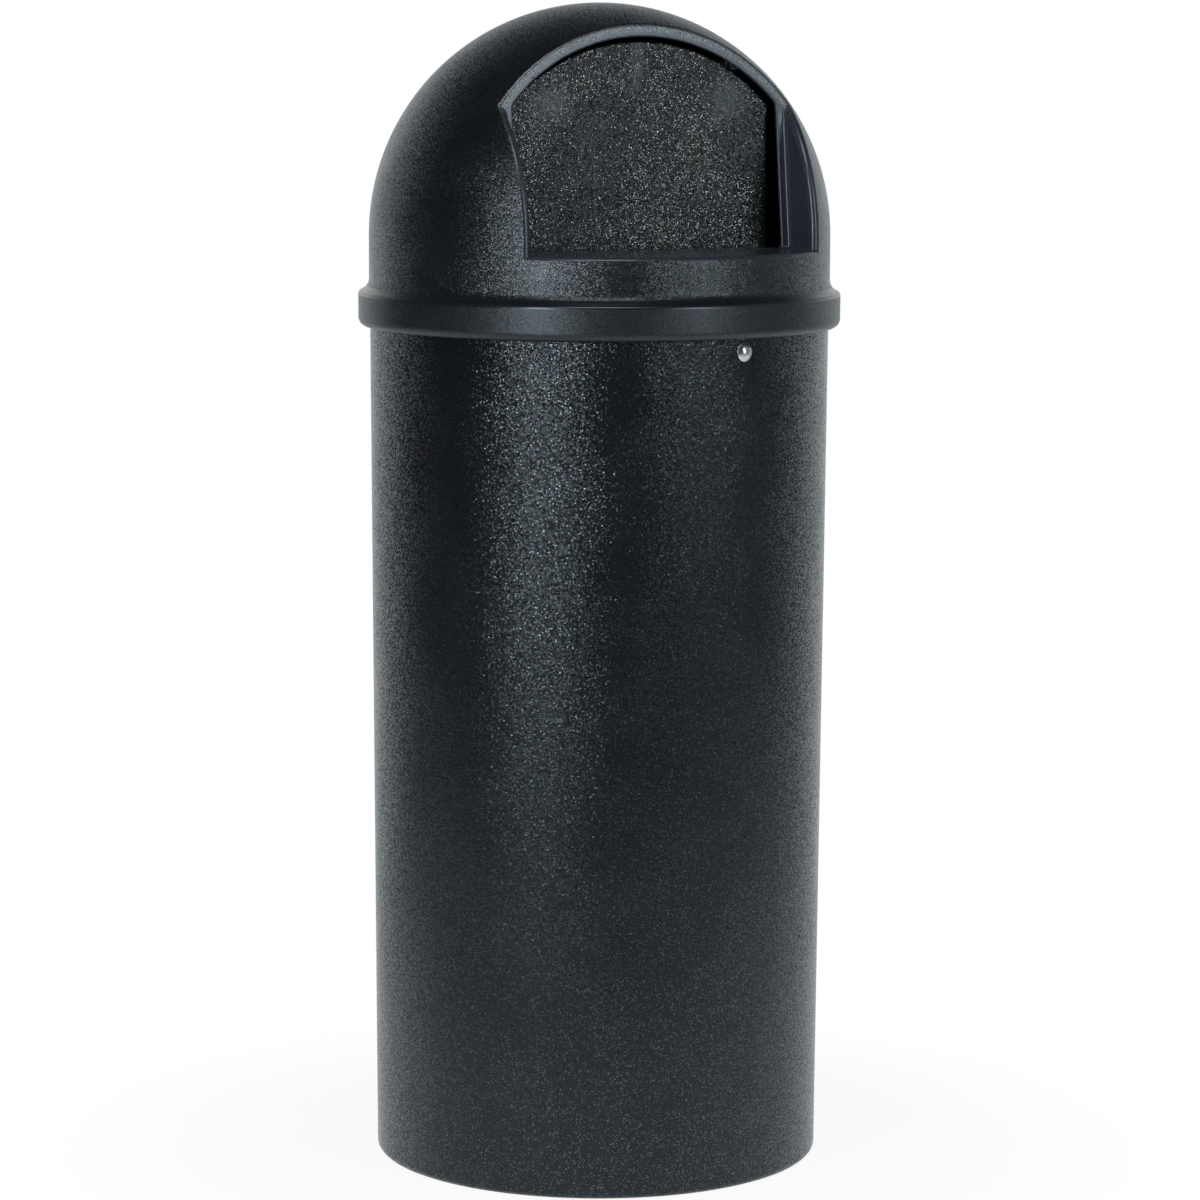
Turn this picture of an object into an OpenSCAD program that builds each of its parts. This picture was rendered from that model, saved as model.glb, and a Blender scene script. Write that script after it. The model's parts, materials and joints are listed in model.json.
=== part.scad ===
// Dome top waste receptacle: a round tapered bin body, a lift-off dome with a
// recessed arched mouth, and a sprung push door that hangs from a rod.
// Z is up, the door faces -Y, and the origin is under the middle of the body.

/* [Bin body] */
// Height of the body, from the floor to its rim
body_h = 698; // [500:1:900]
// Outer diameter of the body at the floor
body_base_d = 356.8; // [340:0.1:366]
// Outer diameter of the body at the rim
body_rim_d = 366.6; // [360:0.1:372]
// Wall of the body
body_wall = 4; // [3:0.1:5]
// Wall of the thicker neck that carries the bag bands
neck_wall = 6.4; // [5.6:0.1:8]
// Height of the thicker neck
neck_h = 64; // [60:1:90]
// Thickness of the bottom
bottom_t = 5; // [4:0.1:8]
// Rounding where the side meets the floor
foot_round = 6; // [4:0.1:8]
// Width of the ring that the body stands on
foot_ring_w = 14; // [10:0.5:30]
// Height of the hollow inside the standing ring
foot_hollow = 2.5; // [1:0.1:3.5]

/* [Bag bands] */
// Height of each elastic band that grips the bag
band_h = 6; // [4:0.1:8]
// Thickness of a band
band_t = 2.2; // [1.5:0.1:2.6]
// Middle of the upper band below the rim
band_drop = 7; // [6:0.1:9]
// Distance between the two bands
band_pitch = 10; // [9.5:0.1:12]

/* [Dome] */
// How far the dome's wall stands outside the rim of the body
dome_step = 0.7; // [0:0.1:3]
// Wall of the dome
dome_wall = 4; // [3:0.1:4.5]
// Straight part of the dome above the rim of the body
dome_straight = 45; // [40:0.5:60]
// How far the overhanging band stands out from its inner lip
skirt_reach = 7.9; // [7:0.1:12]
// How far the band hangs below the rim of the body
skirt_drop = 27; // [24:0.5:40]
// Wall of the band
skirt_wall = 4; // [3:0.1:4.5]
// Rounding under the band
skirt_round = 7; // [4.5:0.1:7.5]
// Rounding on top of the band
shoulder_round = 8; // [4:0.1:9]
// Play between the band's inner lip and the body
lip_gap = 1.3; // [0.8:0.1:2]

/* [Mouth] */
// Distance from the dome's side in to the side of the recess
cheek_inset = 63.5; // [57:0.5:66]
// Height of the ledge above the rim of the body
sill_rise = 37; // [32:0.5:42]
// Depth of the ledge at its middle, from the dome's front to the frame
ledge_depth = 87.3; // [84:0.1:92]
// How far the frame leans back
frame_lean = 6.5; // [4:0.1:8]
// Width of the frame beside the mouth
frame_side = 6.6; // [6:0.1:12]
// Width of the frame over the arch
frame_border = 7.8; // [7.2:0.1:12]
// How far the arch's centre lies below that of the dome's cut
arch_drop = 2.9; // [1:0.1:5]
// Depth of the ledge's turned-down rear edge
sill_lip_h = 20; // [16:0.5:26]

/* [Door] */
// Play between the door and the side of the mouth
door_side_gap = 0.8; // [0.6:0.1:3]
// Play between the top of the door and the arch
door_top_gap = 5.3; // [4:0.1:8]
// How much wider the door's arch is than the mouth's, on the radius
arch_ease = 0.5; // [0:0.1:2]
// Distance from the frame's foot back to the front of the door
door_back = 24; // [22:0.1:26]
// How far the door hangs below the ledge
door_drop = 9; // [7:0.5:12]
// Thickness of the door's face
door_skin = 4; // [3:0.1:4.2]
// Depth of the door's edge
door_edge = 6.5; // [5:0.1:6.8]
// Thickness of the door's edge and of its ribs
door_rib = 3.5; // [2.5:0.1:5]

/* [Hinge] */
// Diameter of the hinge rod
rod_d = 6; // [5:0.1:6.4]
// Play of the door on the rod, on the radius
rod_play = 0.08; // [0.03:0.01:0.1]
// Height of the door's top above the rod
rod_drop = 17.3; // [15:0.1:20]
// Distance from the front of the door back to the rod
rod_set = 13.5; // [13:0.1:15]
// Radius of the door's knuckles
knuckle_r = 6.4; // [5.5:0.1:6.8]
// Length of a knuckle
knuckle_w = 18; // [12:0.5:24]
// Middle of a knuckle from the middle of the door
knuckle_x = 34; // [25:0.5:44]
// Radius of the dome's ears round the rod
ear_r = 6.4; // [6.1:0.1:6.6]
// Thickness of an ear
ear_t = 6; // [4:0.1:7]
// Wall of the bushes in the ears
bush_wall = 1.4; // [1:0.1:1.8]
// Thickness of a bush's collar
collar_t = 1.2; // [0.8:0.1:1.5]
// Thickness of the caps on the rod's ends
cap_t = 2.6; // [2:0.1:3]

/* [Springs] */
// Diameter of the spring wire
wire_d = 1.9; // [1.4:0.1:2]
// Inner radius left round the rod
coil_play = 0.9; // [0.8:0.1:1.1]
// Distance from one turn to the next
coil_pitch = 2.6; // [2.5:0.05:2.8]
// Turns of a spring
coil_turns = 5; // [3:1:5]
// Length of the leg on the door
door_leg = 32; // [24:0.5:40]
// Length of the leg on the dome
dome_leg = 11; // [10:0.5:11.5]

/* [Tether anchors] */
// Place of the bolt round the body, from the front towards +X
bolt_turn = 12.3; // [0:0.1:40]
// Middle of the bolt below the rim
bolt_drop = 37; // [36:0.5:45]
// Diameter of the bolt's shank
bolt_d = 6.35; // [5:0.05:8]
// Diameter of the bolt's round head
bolt_head_d = 14.4; // [12:0.1:16]
// Height of the bolt's round head
bolt_head_h = 3.4; // [2.5:0.1:4]
// Thickness of the eye plates
plate_t = 2.5; // [2:0.1:3]
// Width of the eye plates
plate_w = 22; // [20:0.5:26]
// Diameter of the eyes
eye_d = 9; // [6:0.1:10]
// Distance of the dome's eye plate from the dome's side
dome_eye_inset = 38; // [34:0.5:48]

/* [Hidden] */
$fn = 96;

black = [0.09, 0.09, 0.10];
steel = [0.72, 0.73, 0.75];
rubber = [0.05, 0.05, 0.05];
nylon = [0.82, 0.80, 0.74];
far = 400; // longer than anything it has to cut
seat_gap = 0.3; // between a soft stop and what it stops
slip = 0.1; // between a band or bush and its seat

// Body
foot_r = body_base_d / 2;
rim_r = body_rim_d / 2;
neck_z = body_h - neck_h;
neck_taper = 12; // height over which the wall grows to the neck's
inner_round = 8;
groove_h = band_h + 2 * slip;
groove_t = band_t + 2 * slip;
rim_round = 1.5;

// Dome
dome_r = rim_r + dome_step;
dome_z = body_h + dome_straight;
skirt_z = body_h - skirt_drop;
lip_r = rim_r + lip_gap;
lip_t = 4;
lip_edge = 1; // chamfer under the lip
skirt_r = lip_r + skirt_reach;
shoulder_z = body_h + dome_wall + 2;

// Mouth: the frame's plane cuts the dome in a circle, and the arch follows it
sill_z = body_h + sill_rise;
recess_half = dome_r - cheek_inset;
frame_set = dome_r - ledge_depth;
cut_dist = (frame_set - (dome_z - sill_z) * tan(frame_lean)) * cos(frame_lean);
cut_r = sqrt(pow(dome_r, 2) - pow(cut_dist, 2));
mouth_half = recess_half - frame_side;
mouth_arch_r = cut_r - frame_border;
mouth_arch_z = dome_z + cut_dist * sin(frame_lean) - arch_drop;
mouth_top = mouth_arch_z + mouth_arch_r;

// Door
door_set = frame_set - door_back;
door_half = mouth_half - door_side_gap;
door_top = mouth_top - door_top_gap;
door_arch_r = mouth_arch_r + arch_ease;
door_arch_z = door_top - door_arch_r;
door_foot = sill_z - door_drop;
door_corner_z = door_arch_z + sqrt(pow(door_arch_r, 2) - pow(door_half, 2));

// Ledge: its rear edge turns down just in front of the door
bumper_t = 2;
bumper_r = 3.2;
bumper_z = sill_z - door_drop / 2; // where the door laps the lip
sill_lip_inset = 6;
sill_end = door_set + seat_gap + bumper_t;

// Hinge
rod_r = rod_d / 2;
rod_y = -(door_set - rod_set);
rod_z = door_top - rod_drop;
edge_clear = 0.7; // between an ear and the door's edge as it swings
ear_x = sqrt(pow(door_arch_r, 2) - pow(rod_z - ear_r - edge_clear - door_arch_z, 2));
bush_r = rod_r + bush_wall;
collar_r = bush_r + 1;
cap_r = rod_r + 1.4;
knuckle_foot = knuckle_r + 6; // from the rod down to the foot of a knuckle's block
rod_half = ear_x + ear_t + seat_gap + cap_t;

// Springs
coil_r = rod_r + coil_play + wire_d / 2;
coil_out = ear_x - collar_t - seat_gap - wire_d / 2;
coil_in = coil_out - coil_turns * coil_pitch;
leg_front = -coil_r - wire_d / 2;
stop_depth = 9; // of the dome's stop in front of a spring's upper leg
stop_lift = 2.2; // from the coil up to the stop
stop_root = 1; // how far the stop runs into the ear

// Tether anchors
bolt_z = body_h - bolt_drop;
wall_slope = (rim_r - foot_r) / (body_h - foot_round);
bolt_wall_r = rim_r - wall_slope * bolt_drop; // outside of the wall at the bolt
head_seat = bolt_wall_r + 0.1;
pad_t = 1.3; // flat pad inside the neck
pad_r = rim_r - neck_wall - pad_t;
nut_t = 5.5;
nut_r = bolt_d * 0.92;
washer_t = 1.6;
square_neck = bolt_d;
plate_h = 34;
plate_low = plate_h / 2 + 2; // from the bolt down to the plate's foot
tab_l = 24;
dome_eye_set = dome_r - dome_eye_inset;
dome_tab_h = 12;
eye_boss_h = 8;
eye_boss_r = 5;
dome_seat = 6; // half the depth of the eye plate's flat seat
head_r = 3.6;
head_h = 1.6;
screw_r = 2;
screw_pitch = 14;

function arc(x, y, r, from, to, steps) =
    [for (i = [0:steps]) let(a = from + (to - from) * i / steps) [x + r * cos(a), y + r * sin(a)]];

// Turn about Z to the bolt's place, where -Y points out of the body
module at_bolt() {
    rotate([0, 0, bolt_turn]) children();
}

// A round bar or hole along X, from x1 to x2 at height z and depth y
module rod_x(x1, x2, y, z, r) {
    translate([x1, y, z]) rotate([0, 90, 0]) cylinder(h = x2 - x1, r = r);
}

// A ring round Z
module ring(r1, r2, z1, z2) {
    rotate_extrude() translate([r1, z1]) square([r2 - r1, z2 - z1]);
}

// Shape with a level foot and an arched top, standing upright in XZ and
// reaching from y1 back to y2
module arched(half, foot_z, arch_z, arch_r, y1, y2) {
    translate([0, y2, 0]) rotate([90, 0, 0]) linear_extrude(y2 - y1) intersection() {
        translate([-half, foot_z]) square([2 * half, arch_z + arch_r - foot_z]);
        union() {
            translate([0, arch_z]) circle(arch_r, $fn = 180);
            translate([-half, foot_z]) square([2 * half, max(arch_z - foot_z, 1)]);
        }
    }
}

// ---- Bin body ----

module body_outline() {
    polygon(concat(
        [[0, foot_hollow], [foot_r - foot_round - foot_ring_w, foot_hollow]],
        [[foot_r - foot_round - foot_ring_w + foot_hollow, 0]],
        arc(foot_r - foot_round, foot_round, foot_round, -90, 0, 10),
        [[rim_r, body_h - rim_round]],
        arc(rim_r - rim_round, body_h - rim_round, rim_round, 0, 90, 4),
        arc(rim_r - neck_wall + rim_round, body_h - rim_round, rim_round, 90, 180, 4),
        [[rim_r - neck_wall, neck_z]],
        [[rim_r - body_wall - wall_slope * (neck_h + neck_taper), neck_z - neck_taper]],
        arc(foot_r - body_wall - inner_round, foot_hollow + bottom_t + inner_round, inner_round, 0, -90, 6),
        [[0, foot_hollow + bottom_t]]
    ));
}

module body_shell() {
    color(black) difference() {
        union() {
            rotate_extrude() body_outline();
            // flat pad behind the bolt
            at_bolt() intersection() {
                translate([-plate_w / 2 - 2, -rim_r + 1.5, bolt_z - plate_low - 2])
                    cube([plate_w + 4, rim_r - 1.5 - pad_r, plate_h + 4]);
                cylinder(h = body_h, r = bolt_wall_r - 1.5);
            }
        }
        band_groove(band_drop);
        band_groove(band_drop + band_pitch);
        at_bolt() translate([-square_neck / 2 - slip, -rim_r - 1, bolt_z - square_neck / 2 - slip])
            cube([square_neck + 2 * slip, neck_wall + 8, square_neck + 2 * slip]);
    }
}

module band_groove(drop) {
    ring(rim_r - groove_t, rim_r + 5, body_h - drop - groove_h / 2, body_h - drop + groove_h / 2);
}

module bag_band(drop) {
    middle = body_h - drop;
    color(rubber) ring(rim_r - band_t - slip, rim_r - slip, middle - band_h / 2, middle + band_h / 2);
}

module bag_band_upper() {
    bag_band(band_drop);
}

module bag_band_lower() {
    bag_band(band_drop + band_pitch);
}

// ---- Tether anchor on the body ----

// Along the bolt: x across, y inwards from the middle of the head's seat, z up
module on_bolt(r) {
    at_bolt() translate([0, -r, bolt_z]) rotate([-90, 0, 0]) children();
}

module tether_bolt() {
    head_curve = (pow(bolt_head_d / 2, 2) + pow(bolt_head_h, 2)) / (2 * bolt_head_h);
    shank_l = bolt_wall_r - pad_r + plate_t + washer_t + nut_t + 3;
    color(steel) union() {
        on_bolt(head_seat) intersection() {
            translate([0, 0, head_curve - bolt_head_h]) sphere(head_curve);
            translate([0, 0, -bolt_head_h - 1]) cylinder(h = bolt_head_h + 1, r = bolt_head_d);
        }
        on_bolt(head_seat) translate([0, 0, -0.5]) cylinder(h = shank_l + 0.5, r = bolt_d / 2);
        on_bolt(head_seat) translate([-square_neck / 2, -square_neck / 2, -0.3])
            cube([square_neck, square_neck, 5]);
    }
}

module tether_plate() {
    color(steel) difference() {
        union() {
            at_bolt() translate([-plate_w / 2, -pad_r, bolt_z - plate_low])
                cube([plate_w, plate_t, plate_h]);
            at_bolt() translate([-plate_w / 2, -pad_r, bolt_z - plate_low])
                cube([plate_w, tab_l - plate_w / 2, plate_t]);
            at_bolt() translate([0, -pad_r + tab_l - plate_w / 2, bolt_z - plate_low])
                cylinder(h = plate_t, r = plate_w / 2);
        }
        on_bolt(pad_r + 1) cylinder(h = plate_t + 2, r = bolt_d / 2 + 0.3);
        at_bolt() translate([0, -pad_r + tab_l - plate_w / 2, bolt_z - plate_low - 1])
            cylinder(h = plate_t + 2, r = eye_d / 2);
    }
}

module tether_washer() {
    color(steel) on_bolt(pad_r - plate_t) difference() {
        cylinder(h = washer_t, r = bolt_d * 1.15);
        translate([0, 0, -1]) cylinder(h = washer_t + 2, r = bolt_d / 2 + 0.3);
    }
}

module tether_nut() {
    color(steel) on_bolt(pad_r - plate_t - washer_t) difference() {
        cylinder(h = nut_t, r = nut_r, $fn = 6);
        translate([0, 0, -1]) cylinder(h = nut_t + 2, r = bolt_d / 2 + 0.05);
    }
}

// ---- Dome ----

module skirt_outline() {
    polygon(concat(
        [[lip_r, skirt_z + lip_edge], [lip_r + lip_edge, skirt_z]],
        arc(skirt_r - skirt_round, skirt_z + skirt_round, skirt_round, -90, 0, 10),
        arc(skirt_r - shoulder_round, shoulder_z - shoulder_round, shoulder_round, 0, 90, 10),
        [[dome_r - dome_wall, shoulder_z]],
        [[dome_r - dome_wall, body_h], [skirt_r - skirt_wall, body_h]],
        [[skirt_r - skirt_wall, skirt_z + lip_t + 2], [skirt_r - skirt_wall - 2, skirt_z + lip_t]],
        [[lip_r, skirt_z + lip_t]]
    ));
}

// The dome's outside or inside, as a solid
module dome_form(r) {
    rotate_extrude() union() {
        translate([0, body_h]) square([r, dome_straight]);
        intersection() {
            translate([0, dome_z]) circle(r, $fn = 180);
            translate([0, dome_z - 1]) square([r, r + 1]);
        }
    }
}

// What lies before the frame and over the ledge, grown by some wall
module recess(grow) {
    back = frame_set - grow / cos(frame_lean);
    rise = dome_r + dome_straight;
    translate([-recess_half - grow, 0, 0]) rotate([90, 0, 90]) linear_extrude(2 * (recess_half + grow))
        polygon([
            [-far, sill_z - grow],
            [-back - grow * tan(frame_lean), sill_z - grow],
            [-back + rise * tan(frame_lean), sill_z + rise],
            [-far, sill_z + rise]
        ]);
}

module hinge_ear(side) {
    x1 = side > 0 ? ear_x : -ear_x - ear_t;
    intersection() {
        union() {
            rod_x(x1, x1 + ear_t, rod_y, rod_z, ear_r);
            translate([x1, rod_y - ear_r, rod_z]) cube([ear_t, 2 * ear_r, dome_r]);
            // stop for the spring's upper leg
            translate([
                side > 0 ? coil_out - wire_d : -ear_x - stop_root,
                rod_y + leg_front - seat_gap - stop_depth,
                rod_z + coil_r + stop_lift
            ])
                cube([ear_x + stop_root - coil_out + wire_d, stop_depth, dome_r]);
        }
        dome_form(dome_r - dome_wall / 2);
    }
}

module dome_shell() {
    color(black) difference() {
        union() {
            difference() {
                union() {
                    dome_form(dome_r);
                    rotate_extrude() skirt_outline();
                }
                translate([0, 0, -1]) dome_form(dome_r - dome_wall);
            }
            intersection() {
                dome_form(dome_r);
                recess(dome_wall);
            }
            sill_edge();
            hinge_ear(1);
            hinge_ear(-1);
            dome_eye_bosses();
        }
        recess(0);
        arched(mouth_half, sill_z, mouth_arch_z, mouth_arch_r, -frame_set - 1, rod_y);
        rod_x(-rod_half - 1, rod_half + 1, rod_y, rod_z, bush_r + slip);
        dome_eye_holes();
    }
}

// The ledge's rear edge, which runs back through the mouth and turns down
module sill_edge() {
    half = mouth_half;
    lip_half = half - sill_lip_inset;
    translate([-half, -frame_set, sill_z - dome_wall]) cube([2 * half, frame_set - sill_end, dome_wall]);
    translate([-lip_half, -sill_end - dome_wall, sill_z - sill_lip_h])
        cube([2 * lip_half, dome_wall, sill_lip_h]);
}

// ---- Tether anchor on the dome ----

module dome_eye_bosses() {
    at_bolt() for (s = [-1, 1])
        translate([s * screw_pitch / 2, -dome_eye_set, sill_z - dome_wall - eye_boss_h])
            cylinder(h = eye_boss_h + 1, r = eye_boss_r);
}

module dome_eye_holes() {
    at_bolt() for (s = [-1, 1])
        translate([s * screw_pitch / 2, -dome_eye_set, sill_z - dome_wall - eye_boss_h - 1])
            cylinder(h = eye_boss_h + 1, r = screw_r + 0.05);
}

module dome_eye_plate() {
    top = sill_z - dome_wall - eye_boss_h;
    color(steel) difference() {
        union() {
            at_bolt() translate([-plate_w / 2 - 2, -dome_eye_set - dome_seat, top - plate_t])
                cube([plate_w + 4, 2 * dome_seat + plate_t, plate_t]);
            at_bolt() translate([-plate_w / 2, -dome_eye_set + dome_seat, top - dome_tab_h])
                cube([plate_w, plate_t, dome_tab_h]);
            at_bolt() translate([0, -dome_eye_set + dome_seat, top - dome_tab_h]) rotate([-90, 0, 0])
                cylinder(h = plate_t, r = plate_w / 2);
        }
        at_bolt() for (s = [-1, 1])
            translate([s * screw_pitch / 2, -dome_eye_set, top - plate_t - 1])
                cylinder(h = plate_t + 2, r = screw_r + 0.3);
        at_bolt() translate([0, -dome_eye_set + dome_seat - 1, top - dome_tab_h]) rotate([-90, 0, 0])
            cylinder(h = plate_t + 2, r = eye_d / 2);
    }
}

module dome_eye_screws() {
    top = sill_z - dome_wall - eye_boss_h - plate_t;
    color(steel) at_bolt() for (s = [-1, 1]) translate([s * screw_pitch / 2, -dome_eye_set, top]) union() {
        cylinder(h = plate_t + eye_boss_h - 1, r = screw_r);
        translate([0, 0, -head_h]) cylinder(h = head_h, r = head_r);
    }
}

// ---- Hinge ----

module hinge_rod() {
    color(steel) rod_x(-rod_half, rod_half, rod_y, rod_z, rod_r);
}

module rod_cap(side) {
    x1 = side > 0 ? rod_half - cap_t : -rod_half;
    color(steel) difference() {
        rod_x(x1, x1 + cap_t, rod_y, rod_z, cap_r);
        rod_x(x1 - 1, x1 + cap_t + 1, rod_y, rod_z, rod_r + 0.02);
    }
}

module rod_cap_left() {
    rod_cap(-1);
}

module rod_cap_right() {
    rod_cap(1);
}

module bush(side) {
    x1 = side > 0 ? ear_x : -ear_x - ear_t;
    collar_x = side > 0 ? ear_x - collar_t : -ear_x;
    color(nylon) difference() {
        union() {
            rod_x(x1, x1 + ear_t, rod_y, rod_z, bush_r);
            rod_x(collar_x, collar_x + collar_t, rod_y, rod_z, collar_r);
        }
        rod_x(x1 - 5, x1 + ear_t + 5, rod_y, rod_z, rod_r + rod_play);
    }
}

module bush_left() {
    bush(-1);
}

module bush_right() {
    bush(1);
}

// ---- Springs ----

coil_rings = 8;
wire_sides = 6;
coil_start = 180; // degrees round the rod, where the door's leg leaves the coil
function coil_point(i) = let(t = i / coil_rings, a = coil_start - 360 * t)
    [coil_in + coil_pitch * t, rod_y + coil_r * cos(a), rod_z + coil_r * sin(a)];
spring_path = concat(
    [[coil_in, rod_y - coil_r, rod_z - door_leg], [coil_in, rod_y - coil_r, rod_z - wire_d]],
    [for (i = [0:coil_turns * coil_rings]) coil_point(i)],
    [[coil_out, rod_y - coil_r, rod_z + wire_d], [coil_out, rod_y - coil_r, rod_z + dome_leg]]
);

function unit(v) = v / norm(v);
function heading(p, i) = unit(p[min(i + 1, len(p) - 1)] - p[max(i - 1, 0)]);
function wire_ring(p, i) =
    let(t = heading(p, i), u = unit([1, 0, 0] - t[0] * t), v = cross(t, u))
    [for (k = [0:wire_sides - 1]) let(a = 360 * k / wire_sides)
        p[i] + wire_d / 2 * (cos(a) * u + sin(a) * v)];

module wire(path) {
    rings = len(path);
    n = wire_sides;
    points = [for (i = [0:rings - 1]) each wire_ring(path, i)];
    sides = [for (i = [0:rings - 2], k = [0:n - 1]) let(a = i * n + k, b = i * n + (k + 1) % n)
        each [[a, b, b + n], [a, b + n, a + n]]];
    last = (rings - 1) * n;
    ends = [for (k = [1:n - 2]) each [[0, k + 1, k], [last, last + k, last + k + 1]]];
    polyhedron(points, [for (f = concat(sides, ends)) [f[0], f[2], f[1]]]);
}

wire_gap = min([for (i = [0:len(spring_path) - 8], j = [i + 7:len(spring_path) - 1])
    norm(spring_path[i] - spring_path[j])]) - wire_d;
echo(str("least gap between the spring's turns, mm: ", wire_gap));

module spring_right() {
    color(steel) wire(spring_path);
}

module spring_left() {
    mirror([1, 0, 0]) spring_right();
}

// ---- Door ----

module door_bumper(side) {
    color(rubber) translate([side * door_half * 0.7, -sill_end + bumper_t, bumper_z])
        rotate([90, 0, 0]) cylinder(h = bumper_t, r = bumper_r);
}

module door_bumper_left() {
    door_bumper(-1);
}

module door_bumper_right() {
    door_bumper(1);
}

module door_panel() {
    back = -door_set + door_skin;
    inner = door_rib;
    color(black) difference() {
        union() {
            difference() {
                arched(door_half, door_foot, door_arch_z, door_arch_r, -door_set, -door_set + door_edge);
                arched(door_half - inner, door_foot + inner, door_arch_z, door_arch_r - inner, back, rod_y);
            }
            // stiffening ribs on the back
            for (z = [0.33, 0.66])
                translate([-door_half + 1, back - 1, door_foot + z * (door_corner_z - door_foot)])
                    cube([2 * door_half - 2, door_edge - door_skin + 1, door_rib]);
            for (s = [-1, 1]) {
                // knuckle, and the block that carries it
                rod_x(s * knuckle_x - knuckle_w / 2, s * knuckle_x + knuckle_w / 2, rod_y, rod_z, knuckle_r);
                translate([s * knuckle_x - knuckle_w / 2, back - 1, rod_z - knuckle_foot])
                    cube([knuckle_w, rod_y - back + 1, knuckle_foot]);
                // pad under the spring's leg
                translate([s * coil_in - 4, back - 1, rod_z - door_leg])
                    cube([8, rod_y + leg_front - seat_gap - back + 1, 10]);
            }
        }
        rod_x(-door_half, door_half, rod_y, rod_z, rod_r + rod_play);
    }
}

body_shell();
bag_band_upper();
bag_band_lower();
tether_bolt();
tether_plate();
tether_washer();
tether_nut();
dome_shell();
dome_eye_plate();
dome_eye_screws();
hinge_rod();
rod_cap_left();
rod_cap_right();
bush_left();
bush_right();
spring_left();
spring_right();
door_bumper_left();
door_bumper_right();
door_panel();
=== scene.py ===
# Dome top waste receptacle: its looks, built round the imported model
import bpy, bmesh, json, math
import numpy as np
from mathutils import Matrix, Vector

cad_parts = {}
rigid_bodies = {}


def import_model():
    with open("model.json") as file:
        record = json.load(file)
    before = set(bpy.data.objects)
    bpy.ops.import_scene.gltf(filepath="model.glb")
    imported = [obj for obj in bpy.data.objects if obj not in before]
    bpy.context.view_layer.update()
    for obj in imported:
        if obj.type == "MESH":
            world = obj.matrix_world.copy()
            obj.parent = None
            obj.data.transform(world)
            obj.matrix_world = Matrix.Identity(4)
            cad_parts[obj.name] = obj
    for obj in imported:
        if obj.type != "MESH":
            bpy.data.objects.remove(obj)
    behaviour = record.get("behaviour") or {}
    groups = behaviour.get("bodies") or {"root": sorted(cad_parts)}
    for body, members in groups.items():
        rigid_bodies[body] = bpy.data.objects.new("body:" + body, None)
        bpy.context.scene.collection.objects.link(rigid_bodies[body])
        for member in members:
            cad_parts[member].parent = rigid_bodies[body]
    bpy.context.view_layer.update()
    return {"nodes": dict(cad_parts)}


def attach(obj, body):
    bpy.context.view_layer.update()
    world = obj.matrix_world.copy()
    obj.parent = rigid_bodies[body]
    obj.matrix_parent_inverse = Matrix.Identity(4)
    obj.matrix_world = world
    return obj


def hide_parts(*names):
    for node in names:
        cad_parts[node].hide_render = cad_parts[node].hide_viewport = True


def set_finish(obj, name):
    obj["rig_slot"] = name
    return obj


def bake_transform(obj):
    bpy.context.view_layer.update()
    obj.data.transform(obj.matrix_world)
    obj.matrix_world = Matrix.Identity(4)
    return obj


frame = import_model()
mm = 0.001
scene = bpy.context.scene
scene.view_settings.view_transform = "Standard"

# the camera stands where the photograph was taken from
cameraSet = {
    "azimuth": -25.3, "distance": 3.5255, "height": 0.9225, "pitch": 7.65, "roll": 0.254,
    "yaw": -0.026, "lens": 132.2, "sensor": 36, "clip": (0.05, 60),
}


def makeCamera(c):
    turn, away = math.radians(c["azimuth"]), c["distance"]
    data = bpy.data.cameras.new("camera")
    data.lens, data.sensor_width, data.sensor_fit = c["lens"], c["sensor"], "HORIZONTAL"
    data.clip_start, data.clip_end = c["clip"]
    camera = bpy.data.objects.new("camera", data)
    scene.collection.objects.link(camera)
    stand = Matrix.Translation((math.sin(turn) * away, -math.cos(turn) * away, c["height"]))
    aim = Matrix.Rotation(turn + math.radians(c["yaw"]), 4, "Z")
    aim = aim @ Matrix.Rotation(math.radians(90 - c["pitch"]), 4, "X")
    camera.matrix_world = stand @ aim @ Matrix.Rotation(math.radians(c["roll"]), 4, "Z")
    scene.camera = camera


makeCamera(cameraSet)
print("camera placed")


# a socket that can be reckoned with: every operator adds its Math node
class Wire:
    def __init__(self, tree, socket):
        self.tree, self.socket = tree, socket

    def calc(self, what, *values):
        return self.tree.node("ShaderNodeMath", {"operation": what}, values)

    def __add__(self, other): return self.calc("ADD", self, other)
    def __radd__(self, other): return self.calc("ADD", other, self)
    def __sub__(self, other): return self.calc("SUBTRACT", self, other)
    def __rsub__(self, other): return self.calc("SUBTRACT", other, self)
    def __mul__(self, other): return self.calc("MULTIPLY", self, other)
    def __rmul__(self, other): return self.calc("MULTIPLY", other, self)
    def __truediv__(self, other): return self.calc("DIVIDE", self, other)
    def __rtruediv__(self, other): return self.calc("DIVIDE", other, self)
    def __pow__(self, other): return self.calc("POWER", self, other)
    def atLeast(self, other): return self.calc("MAXIMUM", self, other)
    def atMost(self, other): return self.calc("MINIMUM", self, other)

    def other(self, name):  # another output of the same node
        return Wire(self.tree, self.socket.node.outputs[name])

    def between(self, low, high):  # 0 at low, 1 at high, smooth
        return self.tree.node("ShaderNodeMapRange", {"interpolation_type": "SMOOTHSTEP"},
                              {"Value": self, "From Min": low, "From Max": high})


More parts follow.
